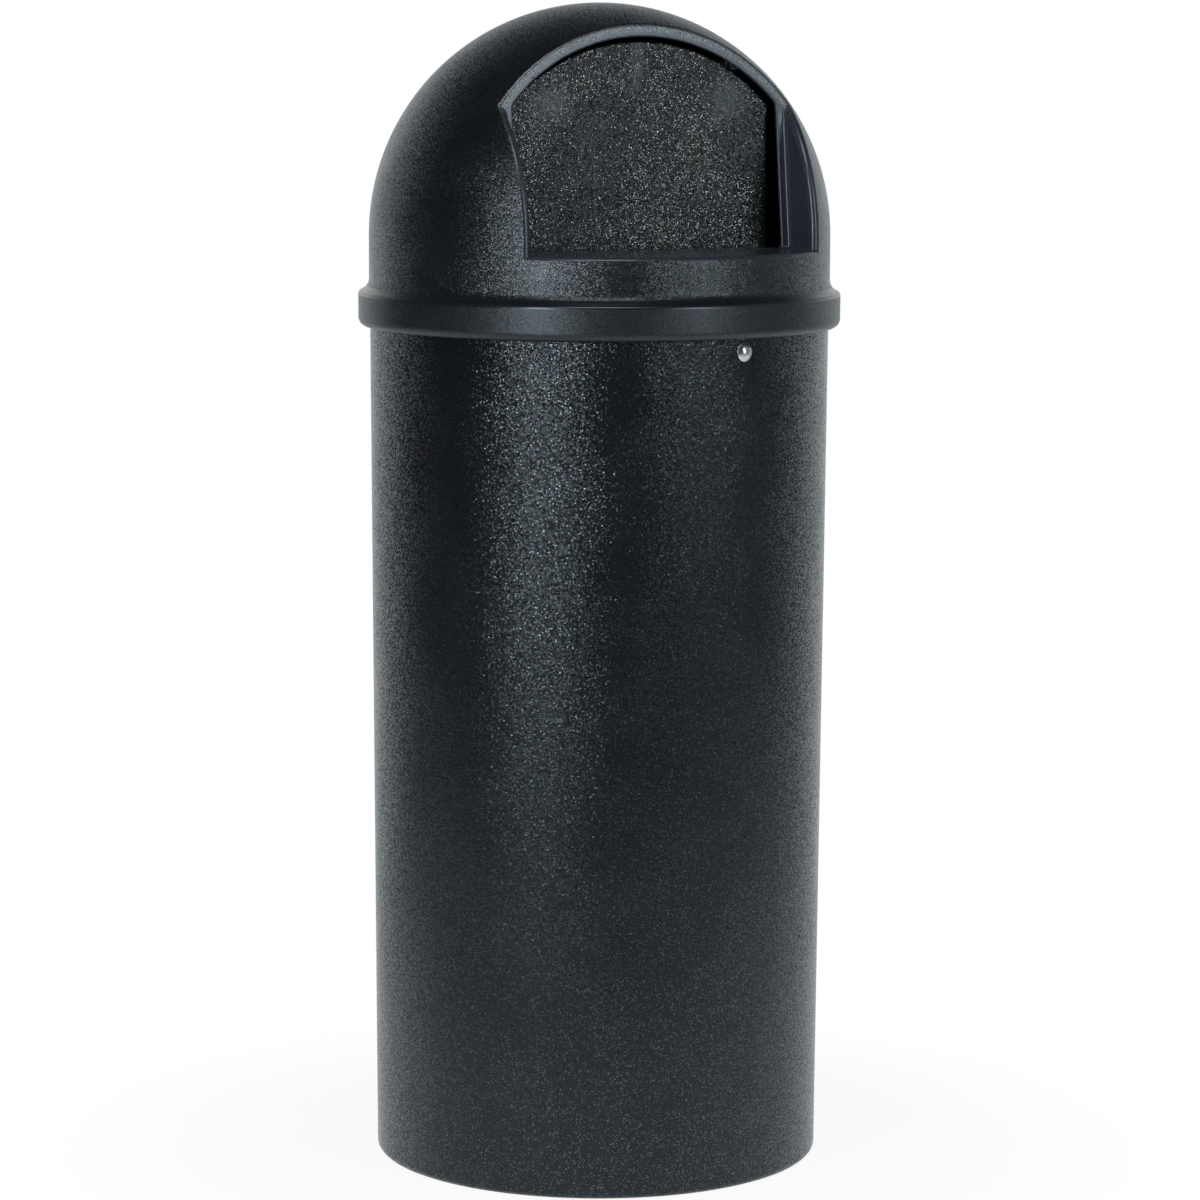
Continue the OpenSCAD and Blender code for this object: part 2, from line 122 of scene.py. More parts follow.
# one material's or the world's nodes
class Tree:
    def __init__(self, owner):
        owner.use_nodes = True
        self.nodes, self.links = owner.node_tree.nodes, owner.node_tree.links
        self.nodes.clear()

    def node(self, kind, settings=None, values=None, out=0):
        made = self.nodes.new(kind)
        for name, value in (settings or {}).items():
            setattr(made, name, value)
        pairs = values.items() if isinstance(values, dict) else enumerate(values or ())
        for name, value in pairs:
            if isinstance(value, Wire):
                self.links.new(value.socket, made.inputs[name])
            else:
                made.inputs[name].default_value = value
        return Wire(self, made.outputs[out])

    def mix(self, share, first, second):  # colours only
        return self.node("ShaderNodeMix", {"data_type": "RGBA"}, {0: share, 6: first, 7: second}, out=2)

    def noise(self, where, size, detail=2.0, rough=0.5):  # size in mm
        return self.node("ShaderNodeTexNoise", {}, {
            "Vector": where, "Scale": 1 / (size * mm), "Detail": detail, "Roughness": rough})

    def close(self, shader, kind="ShaderNodeOutputMaterial"):
        self.links.new(shader.socket, self.nodes.new(kind).inputs["Surface"])


# fields give the distance to a form's surface in millimetres, negative inside it
def roundCut(a, b, r):  # what lies in both, its edge rounded
    return np.minimum(-r, np.maximum(a, b)) + np.hypot(np.maximum(r + a, 0), np.maximum(r + b, 0))


def acuteCut(a, b, r, c):  # the same for two faces that meet at a sharp angle; c is their normals' cosine
    a, b = a + r, b + r
    tip = (a > c * b) & (b > c * a) & (np.maximum(a, b) > 0)
    far = np.sqrt(np.maximum(a * a + b * b - 2 * c * a * b, 0) / (1 - c * c))
    return np.where(tip, far, np.maximum(a, b)) - r


def roundJoin(a, b, r):  # what lies in either, its corner filled
    return np.maximum(r, np.minimum(a, b)) - np.hypot(np.maximum(r - a, 0), np.maximum(r - b, 0))


def slab(value, low, high):
    return np.maximum(low - value, value - high)


def slope(field, points, reach=0.15):  # the outward direction at points
    steps = np.eye(3) * reach
    g = np.stack([field(points + s) - field(points - s) for s in steps], -1)
    return g / np.maximum(np.linalg.norm(g, axis=1, keepdims=True), 1e-9)


def settle(field, points, times=3):  # moves points onto the field's surface
    for _ in range(times):
        points = points - field(points)[:, None] * slope(field, points)
    return points


# a block's side in cells, the margin round it in cells, and how many blocks are worked on at once
netSet = {"side": 8, "margin": 1.5, "atOnce": 400}


def netSkin(field, low, high, step):
    # four-cornered faces where the field is nought, looked for only in blocks near it
    low, side = np.array(low, float), netSet["side"]
    count = np.ceil((np.array(high) - low) / step / side).astype(int) * side
    blocks = np.stack(np.meshgrid(*[np.arange(0, n, side) for n in count], indexing="ij"), -1).reshape(-1, 3)
    reach = side * 0.87 + netSet["margin"]  # half a block's diagonal, and the margin
    blocks = blocks[np.abs(field(low + (blocks + side / 2) * step)) < reach * step]
    corner = np.stack(np.meshgrid(*[np.arange(side + 1)] * 3, indexing="ij"), -1)
    offs = np.array([[i, j, k] for i in (0, 1) for j in (0, 1) for k in (0, 1)])
    cells = [(slice(None), *[slice(o, o + side) for o in off]) for off in offs]
    stride = np.array([(count[1] + 2) * (count[2] + 2), count[2] + 2, 1])
    keys, spots, edges = [], [], []
    for part in np.array_split(blocks, max(1, len(blocks) // netSet["atOnce"])):
        grid = (part[:, None, None, None] + corner).reshape(-1, 3)
        value = field(low + grid * step).reshape(-1, *[side + 1] * 3)
        inside = value < 0
        total = sum(inside[c].astype(np.int8) for c in cells)
        hit = np.argwhere((total > 0) & (total < 8))
        if not len(hit):
            continue
        v = np.stack([value[c][tuple(hit.T)] for c in cells], -1)
        place, number = np.zeros((len(hit), 3)), np.zeros(len(hit))
        for a in range(8):
            for axis, b in enumerate((a + 4, a + 2, a + 1)):
                if offs[a][axis]:
                    continue
                cross = (v[:, a] < 0) != (v[:, b] < 0)
                t = np.where(cross, v[:, a] / np.where(cross, v[:, a] - v[:, b], 1), 0)
                place += cross[:, None] * (offs[a] + t[:, None] * (offs[b] - offs[a]))
                number += cross
        cell = part[hit[:, 0]] + hit[:, 1:]
        keys.append((cell + 1) @ stride)
        spots.append(low + (cell + place / number[:, None]) * step)
        for axis, b in enumerate((4, 2, 1)):
            cross = (v[:, 0] < 0) != (v[:, b] < 0)
            edges.append(np.column_stack([keys[-1][cross], np.full(cross.sum(), axis), v[cross, 0] < 0]))
    keys, first = np.unique(np.concatenate(keys), return_index=True)
    spots = np.concatenate(spots)[first]
    edges = np.unique(np.concatenate(edges), axis=0)
    faces = []
    for axis in range(3):
        mine = edges[edges[:, 1] == axis]
        b, c = stride[(axis + 1) % 3], stride[(axis + 2) % 3]
        ring = np.stack([mine[:, 0] - b - c, mine[:, 0] - c, mine[:, 0], mine[:, 0] - b], 1)
        ring[mine[:, 2] == 0] = ring[mine[:, 2] == 0][:, ::-1]
        faces.append(ring)
    faces = np.concatenate(faces)
    index = np.searchsorted(keys, faces).clip(0, len(keys) - 1)
    whole = (keys[index] == faces).all(1)
    return spots, index[whole]


def meshObject(name, points, faces):
    mesh = bpy.data.meshes.new(name)
    mesh.from_pydata((np.asarray(points) * mm).tolist(), [], faces)
    mesh.validate()
    mesh.polygons.foreach_set("use_smooth", [True] * len(mesh.polygons))
    piece = bpy.data.objects.new(name, mesh)
    scene.collection.objects.link(piece)
    return piece


def applied(piece):
    # the piece with its modifiers worked into its mesh
    bpy.context.view_layer.update()
    graph = bpy.context.evaluated_depsgraph_get()
    mesh = bpy.data.meshes.new_from_object(piece.evaluated_get(graph), depsgraph=graph)
    piece.modifiers.clear()
    old, piece.data = piece.data, mesh
    bpy.data.meshes.remove(old)
    mesh.name = piece.name
    return piece


def fieldPiece(name, field, s):
    # a skin of even faces, thinned out where it is flat and settled on the field again
    points, faces = netSkin(field, *s["box"], s["step"] * (1))
    piece = meshObject(name, settle(field, points), faces.tolist())
    share = s["faces"] / (len(faces) * 2)
    if share < 1:
        piece.modifiers.new("thin", "DECIMATE").ratio = share
        piece = applied(piece)
    mesh = piece.data
    flat = np.zeros(len(mesh.vertices) * 3)
    mesh.vertices.foreach_get("co", flat)
    points = settle(field, flat.reshape(-1, 3) / mm, 2)
    mesh.vertices.foreach_set("co", (points * mm).ravel())
    mesh.polygons.foreach_set("use_smooth", [True] * len(mesh.polygons))
    mesh.normals_split_custom_set_from_vertices(slope(field, points).tolist())
    mesh.update()
    print(name, "has", len(mesh.polygons), "faces")
    return piece


# sizes the pieces share, in millimetres
overlap = 1.0  # how far forms that are joined run into each other
bothSides = ((-1, "left"), (1, "right"))
binSet = {
    "footR": 178.4, "rimR": 183.3, "height": 698.0, "wall": 4.0, "neckWall": 6.4, "neckZ": 634.0,
    "neckStep": 12.0, "neckRound": 5.0, "bottom": 5.0, "footRound": 6.0, "ring": 14.0, "hollow": 2.5,
    "ringEdges": (0.8, 1.0), "innerRound": 8.0, "rimRound": 1.5, "bandDrops": (7.0, 17.0),
    "grooveH": 6.2, "grooveT": 2.4, "grooveEdge": 0.4, "padR": 175.6,
    "outerRows": (40, 640, 16), "innerRows": (580, 40, 14), "turns": 288,
}
domeSet = {
    "radius": 184.0, "wall": 4.0, "centre": 743.0, "skirtR": 192.5, "skirtFoot": 671.0, "shoulder": 698.9,
    "shoulderRound": 2.6, "skirtRound": 7.0, "lipR": 184.6, "lipH": 6.0, "crease": 9.7, "gutterRound": 1.5,
    "edge": 0.8, "step": 1.4, "faces": 96000, "box": ((-196, -196, 668), (196, 196, 930)),
}
mouthSet = {
    "recess": 120.5, "sill": 735.0, "frame": 96.7, "lean": 6.5, "half": 113.9, "archR": 149.67,
    "archZ": 750.874, "archCorner": 2.0, "cheekEdge": 4.3, "archEdge": 1.6, "ledgeEdge": 3.6, "corner": 3.0,
    "fade": (2, 10, 0.02), "lining": 2.0, "rim": 1.6, "footCorner": 4.5, "through": 30.0,
    "lipBack": 75.0, "lipHalf": 107.9, "lipDrop": 20.0, "lipRound": 1.2, "lipJoin": 1.0,
}
doorSet = {
    "face": 72.7, "half": 113.1, "foot": 726.0, "archR": 152.2, "archZ": 745.074, "depth": 6.5, "skin": 4.0,
    "edge": 2.0, "backEdge": 0.8, "corner": 3.0, "hollowRound": 1.5, "hollowEdge": 0.6, "boreEdge": 0.3,
    "rib": 3.5, "ribRound": 1.0, "ribShares": (0.33, 0.66),
    "step": 1.2, "faces": 44000, "box": ((-116, -76, 722), (116, -50, 898)),
    "waves": ((0.16, 0.071, 0.033, 0.4), (0.12, -0.048, 0.092, 1.9), (0.07, 0.13, -0.06, 4.0)),
}
hingeSet = {
    "p": 59.2, "z": 877.948, "rodR": 3.0, "play": 0.08, "half": 90.956, "chamfer": 0.5, "turns": 40,
    "earX": 82.056, "earT": 6.0, "earR": 6.4, "earJoin": 1.2, "soft": 0.7, "boreEdge": 0.4,
    "bushR": 4.4, "bushPlay": 0.1, "bushEdges": (0.1, 0.2, 0.3), "collar": 1.2, "collarR": 5.4,
    "knuckleR": 6.4, "knuckleW": 18.0, "knuckleX": 34.0, "knuckleFoot": 6.0, "knuckleJoin": 1.0,
    "capT": 2.6, "capR": 4.4, "capPlay": 0.02, "capEdges": (0.45, 0.9),
    "coilR": 4.85, "coilIn": 66.606, "coilOut": 79.606, "pitch": 2.6, "coils": 5, "perCoil": 28,
    "wire": 1.9, "wireSides": 12, "doorLeg": 32.0, "doorLegRows": 12, "domeLeg": 11.0, "domeLegRows": 6,
    "stop": (65.3, 74.3), "stopLift": 2.2, "padH": 10.0, "padHalf": 4.0,
}
boltSet = {
    "turn": 12.3, "z": 661.0, "wallR": 183.04, "off": 0.1, "headD": 14.4, "headH": 3.4, "headRows": 14,
    "rim": 0.25, "flare": 0.15, "d": 6.35, "thread": (-9.0, -18.8), "pitch": 0.635, "groove": 0.45,
    "tip": 0.8, "length": 20.0, "neck": (0.2, 4.9), "neckSoft": 0.4, "turns": 48,
    "padHalf": 13.0, "padBelow": 21.0, "padAbove": 17.0, "padIn": 4.5, "play": 0.1, "through": 3.0,
}
bossSet = {"across": 7.0, "out": 146.0, "r": 5.0, "h": 8.0, "holeR": 2.05}  # for the eye plate's screws


def domeForm(rho, z, r):  # a round cap on an upright wall
    return np.hypot(rho, np.maximum(z - domeSet["centre"], 0)) - r


def archField(x, z, half, foot, archZ, archR, corner):
    sides = roundCut(np.abs(x) - half, foot - z, corner)
    return roundCut(sides, np.hypot(x, z - archZ) - archR, mouthSet["archCorner"])


def frameField(p, z):  # how far behind the frame's leaning plane
    m = mouthSet
    lean = math.radians(m["lean"])
    return (m["frame"] - (z - m["sill"]) * math.tan(lean) - p) * math.cos(lean)


def recessField(x, p, z, grow, corner):
    sides = roundCut(np.abs(x) - mouthSet["recess"] - grow, frameField(p, z) - grow, corner)
    return roundCut(sides, mouthSet["sill"] - z - grow, corner)


def turned(x, p, turn):  # across and outwards at a place round the bin
    a = math.radians(turn)
    return x * math.cos(a) - p * math.sin(a), p * math.cos(a) + x * math.sin(a)


def domeField(points):
    d, m, h, b = domeSet, mouthSet, hingeSet, bossSet
    x, p, z = points[:, 0], -points[:, 1], points[:, 2]
    rho = np.hypot(x, p)
    # outside: the dome, and the band that overhangs the rim
    shell = np.maximum(domeForm(rho, z, d["radius"]), binSet["height"] - z)
    band = roundCut(rho - d["skirtR"], z - d["shoulder"], d["shoulderRound"])
    band = roundCut(band, d["skirtFoot"] - z, d["skirtRound"])
    outside = roundJoin(shell, band, d["crease"])
    # the recess: what stands beside it, behind it and below it, joined by fillets that die out at the skin
    fadeFrom, fadeOver, least = m["fade"]
    soft = m["corner"] * np.clip((-outside - fadeFrom) / fadeOver, least, 1)
    cheek = acuteCut(outside, m["recess"] - np.abs(x), m["cheekEdge"], -m["recess"] / d["radius"])
    arch = roundCut(outside, -frameField(p, z), m["archEdge"])
    ledge = roundCut(outside, z - m["sill"], m["ledgeEdge"])
    outside = roundJoin(roundJoin(cheek, arch, soft), ledge, soft)
    # inside: the hollow under the dome, less the recess's lining
    hollow = domeForm(rho, z, d["radius"] - d["wall"])
    gutter = slab(z, d["skirtFoot"] + d["wall"], binSet["height"])
    gutter = roundCut(rho - d["skirtR"] + d["wall"], gutter, d["gutterRound"])
    foot = np.maximum(rho - d["lipR"], z - d["skirtFoot"] - d["lipH"])
    hollow = np.minimum(np.minimum(hollow, gutter), foot)
    hollow = roundCut(hollow, -recessField(x, p, z, d["wall"], m["corner"] + m["lining"]), m["lining"])
    solid = roundCut(outside, -hollow, d["edge"])
    # mouth, with the ledge running back through it and turning down
    mouth = archField(x, z, m["half"], m["sill"], m["archZ"], m["archR"], m["footCorner"])
    mouth = np.maximum(mouth, slab(p, h["p"], m["frame"] + m["through"]))
    solid = roundCut(solid, -mouth, m["rim"])
    sill = np.maximum(slab(p, m["lipBack"], m["frame"]), slab(z, m["sill"] - d["wall"], m["sill"]))
    sill = np.maximum(sill, np.abs(x) - m["half"] - overlap)
    lip = slab(p, m["lipBack"], m["lipBack"] + d["wall"])
    lip = roundCut(lip, slab(z, m["sill"] - m["lipDrop"], m["sill"]), m["lipRound"])
    lip = roundCut(lip, np.abs(x) - m["lipHalf"], m["lipRound"])
    solid = np.minimum(solid, roundJoin(sill, lip, m["lipJoin"]))
    # ears for the rod, and the stops of the springs' upper legs
    inner = domeForm(rho, z, d["radius"] - d["wall"] / 2)
    fromRod = np.hypot(p - h["p"], z - h["z"])
    ear = np.minimum(fromRod - h["earR"], np.maximum(np.abs(p - h["p"]) - h["earR"], h["z"] - z))
    ear = roundCut(ear, slab(np.abs(x), h["earX"], h["earX"] + h["earT"]), h["soft"])
    stop = np.maximum(slab(p, *h["stop"]), h["z"] + h["coilR"] + h["stopLift"] - z)
    stop = roundCut(stop, slab(np.abs(x), h["coilOut"] - h["wire"], h["earX"] + overlap), h["soft"])
    ear = roundCut(roundJoin(ear, stop, h["soft"]), h["bushR"] + h["bushPlay"] - fromRod, h["boreEdge"])
    solid = roundJoin(solid, np.maximum(ear, inner), h["earJoin"])
    # bosses for the eye plate's screws
    across, out = turned(x, p, boltSet["turn"])
    post = np.hypot(np.abs(across) - b["across"], out - b["out"])
    boss = np.maximum(post - b["r"], slab(z, m["sill"] - d["wall"] - b["h"], m["sill"] - overlap))
    boss = np.maximum(boss, -np.maximum(post - b["holeR"], z - m["sill"] + d["wall"]))
    return np.minimum(solid, boss)


def doorField(points):
    d, h = doorSet, hingeSet
    x, p, z = points[:, 0], -points[:, 1], points[:, 2]
    back = d["face"] - d["skin"]
    plate = archField(x, z, d["half"], d["foot"], d["archZ"], d["archR"], d["corner"])
    # the moulded face is a little wavy
    wave = sum(high * (1 - np.cos(x * across + z * up + start)) for high, across, up, start in d["waves"])
    solid = roundCut(plate, p - d["face"] + wave, d["edge"])
    solid = roundCut(solid, d["face"] - d["depth"] - p, d["backEdge"])
    hollow = roundCut(plate + d["rib"], p - back, d["hollowRound"])
    cornerZ = d["archZ"] + math.sqrt(d["archR"] ** 2 - d["half"] ** 2)
    for share in d["ribShares"]:  # ribs left standing on the back
        low = d["foot"] + share * (cornerZ - d["foot"])
        hollow = roundCut(hollow, -slab(z, low, low + d["rib"]), d["ribRound"])
    solid = roundCut(solid, -hollow, d["hollowEdge"])
    # knuckles for the rod, and the pads the springs' lower legs push on
    fromRod = np.hypot(p - h["p"], z - h["z"])
    arm = slab(z, h["z"] - h["knuckleR"] - h["knuckleFoot"], h["z"])
    arm = np.maximum(slab(p, h["p"], back + overlap), arm)
    wide = np.abs(np.abs(x) - h["knuckleX"]) - h["knuckleW"] / 2
    knuckle = roundCut(np.minimum(fromRod - h["knuckleR"], arm), wide, h["soft"])
    padZ = h["z"] - h["doorLeg"]
    pad = roundCut(slab(p, h["stop"][0], back + overlap), slab(z, padZ, padZ + h["padH"]), h["soft"])
    pad = roundCut(pad, np.abs(np.abs(x) - h["coilIn"]) - h["padHalf"], h["soft"])
    solid = roundJoin(roundJoin(solid, knuckle, h["knuckleJoin"]), pad, h["soft"])
    return roundCut(solid, h["rodR"] + h["play"] - fromRod, d["boreEdge"])


# turned, swept and joined pieces: their sizes are given in millimetres too
def rounded(corners, steps=6):
    # a closed outline of (r, z, radius) corners with each corner rounded
    out, n = [], len(corners)
    for i, (r, z, radius) in enumerate(corners):
        here = np.array([r, z], float)
        back, on = (np.array(corners[j % n][:2], float) - here for j in (i - 1, i + 1))
        back, on = back / np.linalg.norm(back), on / np.linalg.norm(on)
        if not radius:
            out.append(tuple(here))
            continue
        half = math.acos(np.clip(back @ on, -1, 1)) / 2
        middle = here + (back + on) / np.linalg.norm(back + on) * radius / math.sin(half)
        first = here + back * radius / math.tan(half) - middle
        last = here + on * radius / math.tan(half) - middle
        sweep = math.pi - 2 * half
        for k in range(steps + 1):
            t = k / steps
            spot = (math.sin((1 - t) * sweep) * first + math.sin(t * sweep) * last) / math.sin(sweep)
            out.append(tuple(middle + spot))
    return out


def place(at, axis):
    # local Z along axis, moved to a point
    return Matrix.Translation([v * mm for v in at]) @ Vector(axis).to_track_quat("Z", "Y").to_matrix().to_4x4()


def lathe(name, outline, turns, matrix=None, closed=False):
    # outline of (r, z), turned about Z; points on the axis become poles
    points, rings = [], []
    angles = [2 * math.pi * k / turns for k in range(turns)]
    for r, z in outline:
        if r < 1e-6:
            rings.append([len(points)] * turns)
            points.append((0, 0, z))
        else:
            rings.append(list(range(len(points), len(points) + turns)))
            points += [(r * math.cos(a), r * math.sin(a), z) for a in angles]
    faces = []
    pairs = list(zip(rings, rings[1:])) + ([(rings[-1], rings[0])] if closed else [])
    for a, b in pairs:
        for k in range(turns):
            n = (k + 1) % turns
            face = list(dict.fromkeys((a[k], a[n], b[n], b[k])))
            if len(face) > 2:
                faces.append(face)
    piece = meshObject(name, points, faces)
    if matrix is not None:
        piece.data.transform(matrix)
    return tidy(piece)


def tidy(piece, angle=38):
    # faces outwards, sharp edges where the faces turn sharply
    mesh = bmesh.new()
    mesh.from_mesh(piece.data)
    bmesh.ops.recalc_face_normals(mesh, faces=mesh.faces)
    mesh.to_mesh(piece.data)
    mesh.free()
    piece.data.polygons.foreach_set("use_smooth", [True] * len(piece.data.polygons))
    piece.data.set_sharp_from_angle(angle=math.radians(angle))
    if "even" not in piece.modifiers:
        piece.modifiers.new("even", "WEIGHTED_NORMAL").keep_sharp = True
    return piece


def block(name, low, high, matrix, soft=0.0):
    # a block with its edges bevelled
    mesh = bmesh.new()
    bmesh.ops.create_cube(mesh, size=1)
    for v in mesh.verts:
        v.co = [(l + (h - l) * (c + 0.5)) * mm for l, h, c in zip(low, high, v.co)]
    if soft:
        bmesh.ops.bevel(mesh, geom=mesh.edges[:], offset=soft * mm, segments=3, affect="EDGES", profile=0.5)
    data = bpy.data.meshes.new(name)
    mesh.to_mesh(data)
    mesh.free()
    data.transform(matrix)
    piece = bpy.data.objects.new(name, data)
    scene.collection.objects.link(piece)
    return piece


def combine(piece, tool, how):
    # UNION or DIFFERENCE with a tool, which is used up
    piece.modifiers.clear()
    work = piece.modifiers.new("work", "BOOLEAN")
    work.operation, work.object, work.solver = how, tool, "EXACT"
    applied(piece)
    bpy.data.objects.remove(tool)
    return tidy(piece)


def ringOutline(inner, outer, low, high, innerEdge, outerEdge, steps):
    # a ring's section, its edges rounded
    return rounded([(inner, low, innerEdge), (outer, low, outerEdge),
                    (outer, high, outerEdge), (inner, high, innerEdge)], steps)


endRows = (0.9, 0.6)  # how far along a wire's rounded end its rings lie


def swept(name, path, radius, sides):
    # a round wire along a path, with rounded ends
    path = np.array(path, float)
    heads = np.gradient(path, axis=0)
    heads /= np.linalg.norm(heads, axis=1, keepdims=True)
    side = np.cross(heads[0], [0.3, 0.9, 0.2])  # any direction across the wire will do
    points, faces = [], []
    rings = [(path[0] - heads[0] * radius * s, heads[0], math.sqrt(1 - s * s)) for s in endRows]
    rings += [(q, t, 1) for q, t in zip(path, heads)]
    rings += [(path[-1] + heads[-1] * radius * s, heads[-1], math.sqrt(1 - s * s)) for s in endRows[::-1]]
    for middle, head, size in rings:
        side = side - head * (side @ head)
        side /= np.linalg.norm(side)
        other = np.cross(head, side)
        for k in range(sides):
            a = 2 * math.pi * k / sides
            points.append(middle + radius * size * (math.cos(a) * side + math.sin(a) * other))
    for i in range(len(rings) - 1):
        for k in range(sides):
            n = (k + 1) % sides
            faces.append([i * sides + k, i * sides + n, (i + 1) * sides + n, (i + 1) * sides + k])
    faces += [list(range(sides))[::-1], list(range((len(rings) - 1) * sides, len(rings) * sides))]
    return tidy(meshObject(name, points, faces))


def standFor(piece, body, slot, *nodes):
    if body:
        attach(piece, body)
    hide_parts(*nodes)
    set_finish(piece, slot)


# bin body: turned, with a flat pad inside and a square hole for the bolt
def wallR(z):
    b = binSet
    run = b["height"] - b["rimRound"] - b["footRound"]
    return b["footR"] + (b["rimR"] - b["footR"]) * (z - b["footRound"]) / run


def makeBin(b):
    s, top, rimR = boltSet, b["height"], b["rimR"]
    foot, floorZ = b["footR"] - b["footRound"] - b["ring"], b["hollow"] + b["bottom"]
    corners = [(0, b["hollow"], 0), (foot, b["hollow"], b["ringEdges"][0]),
               (foot + b["hollow"], 0, b["ringEdges"][1]), (b["footR"], 0, b["footRound"])]
    corners += [(wallR(z), z, 0) for z in np.linspace(*b["outerRows"])]
    for drop in b["bandDrops"][::-1]:  # seats of the two bag bands
        middle, seat, edge = top - drop, rimR - b["grooveT"], b["grooveEdge"]
        for z in (middle - b["grooveH"] / 2, middle + b["grooveH"] / 2):
            pair = [(wallR(z), z, edge), (seat, z, edge)]
            corners += pair if z < middle else pair[::-1]
    neckR, neckFoot = rimR - b["neckWall"], b["neckZ"] - b["neckStep"]
    slopeIn = (rimR - b["footR"]) / (top - b["footRound"])
    corners += [(rimR, top, b["rimRound"]), (neckR, top, b["rimRound"]), (neckR, b["neckZ"], b["neckRound"]),
                (rimR - b["wall"] - slopeIn * (top - neckFoot), neckFoot, b["neckRound"])]
    corners += [(wallR(z) - b["wall"], z, 0) for z in np.linspace(*b["innerRows"])]
    corners += [(b["footR"] - b["wall"], floorZ, b["innerRound"]), (0, floorZ, 0)]
    piece = lathe("bin", rounded(corners), b["turns"] // (1))
    turn = Matrix.Rotation(math.radians(s["turn"]), 4, "Z")
    pad = block("pad", (-s["padHalf"], -rimR + s["padIn"], s["z"] - s["padBelow"]),
                (s["padHalf"], -b["padR"], s["z"] + s["padAbove"]), turn)
    piece = combine(piece, pad, "UNION")
    half = s["d"] / 2 + s["play"]
    hole = block("hole", (-half, -rimR - s["through"], s["z"] - half),
                 (half, -b["padR"] + s["through"], s["z"] + half), turn)
    return combine(piece, hole, "DIFFERENCE")


standFor(makeBin(binSet), "bin", "body_plastic", "body_shell")

# bag bands: how far their inner and outer faces lie inside the rim's, and half their height
bandSet = {"in": 2.3, "out": 0.1, "half": 3.0, "edges": (0.6, 1.0), "steps": 4}


def makeBand(b, s, drop, name):
    z = b["height"] - drop
    outline = ringOutline(b["rimR"] - s["in"], b["rimR"] - s["out"], z - s["half"], z + s["half"],
                          *s["edges"], s["steps"])
    band = lathe("bagBand." + name, outline, b["turns"], closed=True)
    standFor(band, "bin", "band_rubber", "bag_band_" + name)


for drop, name in zip(binSet["bandDrops"], ("upper", "lower")):
    makeBand(binSet, bandSet, drop, name)
print("bin turned")


# carriage bolt: low round head, square neck, threaded shank
def makeBolt(b):
    r, h, half = b["headD"] / 2, b["headH"], b["d"] / 2
    curve = (r * r + h * h) / (2 * h)
    top = math.asin((r - b["rim"]) / curve)
    rows = np.linspace(0, top, b["headRows"])
    outline = [(curve * math.sin(a), curve * math.cos(a) - curve + h) for a in rows]
    outline += [(r, b["rim"]), (r - b["flare"], 0.0), (half, 0)]
    for z in np.arange(*b["thread"], -b["pitch"]):
        outline += [(half - b["groove"], z), (half, z - b["pitch"] / 2)]
    outline += [(half - b["tip"], -b["length"]), (0, -b["length"])]
    a = math.radians(b["turn"])
    out = Vector((math.sin(a), -math.cos(a), 0))
    matrix = place(out * (b["wallR"] + b["off"]) + Vector((0, 0, b["z"])), out)
    piece = lathe("bolt", outline, b["turns"], matrix)
    near, far = (v - b["wallR"] for v in b["neck"])
    neck = block("neck", (-half, near, b["z"] - half), (half, far, b["z"] + half),
                 Matrix.Rotation(a, 4, "Z"), b["neckSoft"])
    return combine(piece, neck, "UNION")


standFor(makeBolt(boltSet), "bin", "bolt_steel", "tether_bolt")
print("bolt made")


# hinge: rod, push-on caps, bushes, springs, and the bumpers the door closes against
def onRod(x, way=1):
    return place((x, -hingeSet["p"], hingeSet["z"]), (way, 0, 0))


def makeHinge(h):
    r, end, cut = h["rodR"], h["half"], h["chamfer"]
    outline = [(0, -end), (r - cut, -end), (r, -end + cut), (r, end - cut), (r - cut, end), (0, end)]
    standFor(lathe("hingeRod", outline, h["turns"], onRod(0)), "dome", "rod_steel", "hinge_rod")
    capLine = ringOutline(r + h["capPlay"], h["capR"], 0, h["capT"], *h["capEdges"], 3)
    hole, fine, middle, large = r + h["play"], *h["bushEdges"]
    bushLine = rounded([
        (hole, h["earT"], middle), (hole, 0, middle), (h["collarR"], 0, large), (h["collarR"], h["collar"], large),
        (h["bushR"], h["collar"], fine), (h["bushR"], h["earT"], large)], 3)
    for side, name in bothSides:
        capX = side * end - (h["capT"] if side > 0 else 0)
        cap = lathe("rodCap." + name, capLine, h["turns"], onRod(capX), True)
        standFor(cap, "dome", "rod_steel", "rod_cap_" + name)
        bush = lathe("bush." + name, bushLine, h["turns"], onRod(side * (h["earX"] - h["collar"]), side), True)
        standFor(bush, "dome", "bush_nylon", "bush_" + name)


def makeSpring(h, side, name):
    per, y, z, r = h["perCoil"], -h["p"], h["z"], h["coilR"]
    turn = np.arange(h["coils"] * per + 1) / per
    a = math.pi - 2 * math.pi * turn
    coil = np.column_stack([h["coilIn"] + h["pitch"] * turn, y + r * np.cos(a), z + r * np.sin(a)])
    down = [(h["coilIn"], y - r, z - v) for v in np.linspace(h["doorLeg"], h["wire"], h["doorLegRows"])]
    up = [(h["coilOut"], y - r, z + v) for v in np.linspace(h["wire"], h["domeLeg"], h["domeLegRows"])]
    path = np.array(down + coil.tolist() + up)
    path[:, 0] *= side
    spring = swept("spring." + name, path, h["wire"] / 2, h["wireSides"])
    spring.modifiers.clear()
    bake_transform(spring)
    standFor(spring, None, "spring_steel", "spring_" + name)


bumperSet = {
    "outline": ((0, 0), (3.2, 0), (3.2, 1.2), (2.9, 1.75), (2.4, 2.0), (0, 2.0)), "turns": 32,
    "share": 0.7, "drop": 4.5,
}


def makeBumper(s, side, name):
    at = (side * doorSet["half"] * s["share"], -mouthSet["lipBack"], mouthSet["sill"] - s["drop"])
    bumper = lathe("bumper." + name, s["outline"], s["turns"], place(at, (0, 1, 0)))
    standFor(bumper, "dome", "band_rubber", "door_bumper_" + name)


